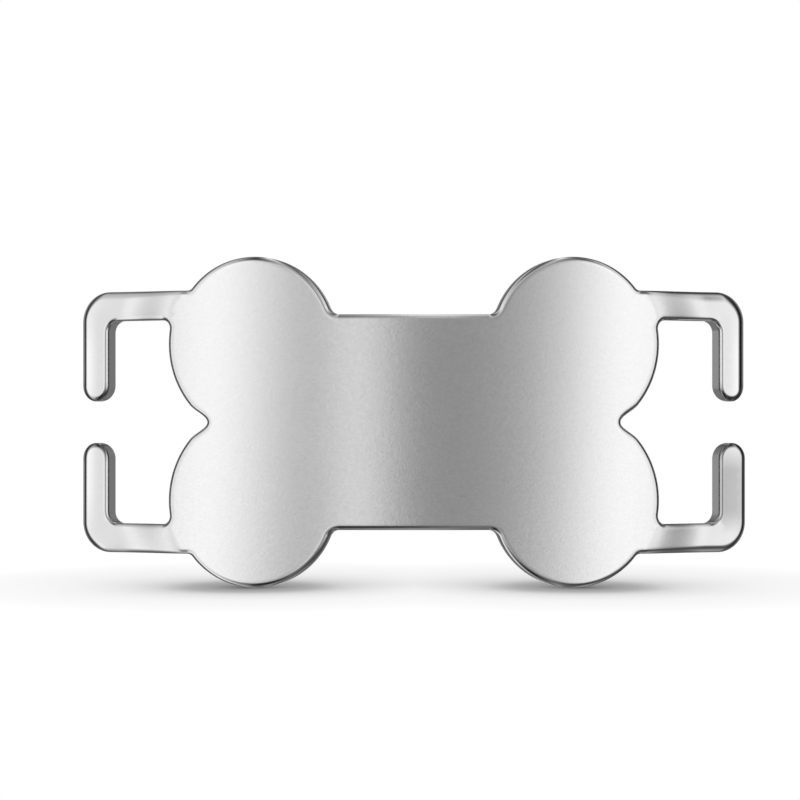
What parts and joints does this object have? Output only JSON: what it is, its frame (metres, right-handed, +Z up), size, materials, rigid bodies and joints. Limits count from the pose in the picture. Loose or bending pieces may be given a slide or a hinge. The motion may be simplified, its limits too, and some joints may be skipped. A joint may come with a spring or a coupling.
{
  "type": "pet id tag",
  "caption": "Slide-on collar tag: a curved, bone-shaped steel plate with L-shaped hooks that hold it on a strap.",
  "frame": {"origin": "under the middle of the tag, on the surface that it stands on with its lower lobes", "axes": "+X along the collar, to the right as seen from the front; +Z up; the tag's face looks along -Y and its hollow back along +Y"},
  "size_m": [0.0546, 0.0086, 0.0267],
  "materials": {
    "satin_steel": "satin, with a fine even grain",
    "polished_steel": "polished"
  },
  "bodies": {
    "root": {"bone_plate": "satin_steel", "top_left_hook": "polished_steel", "top_right_hook": "polished_steel", "bottom_left_hook": "polished_steel", "bottom_right_hook": "polished_steel"}
  },
  "joints": []
}
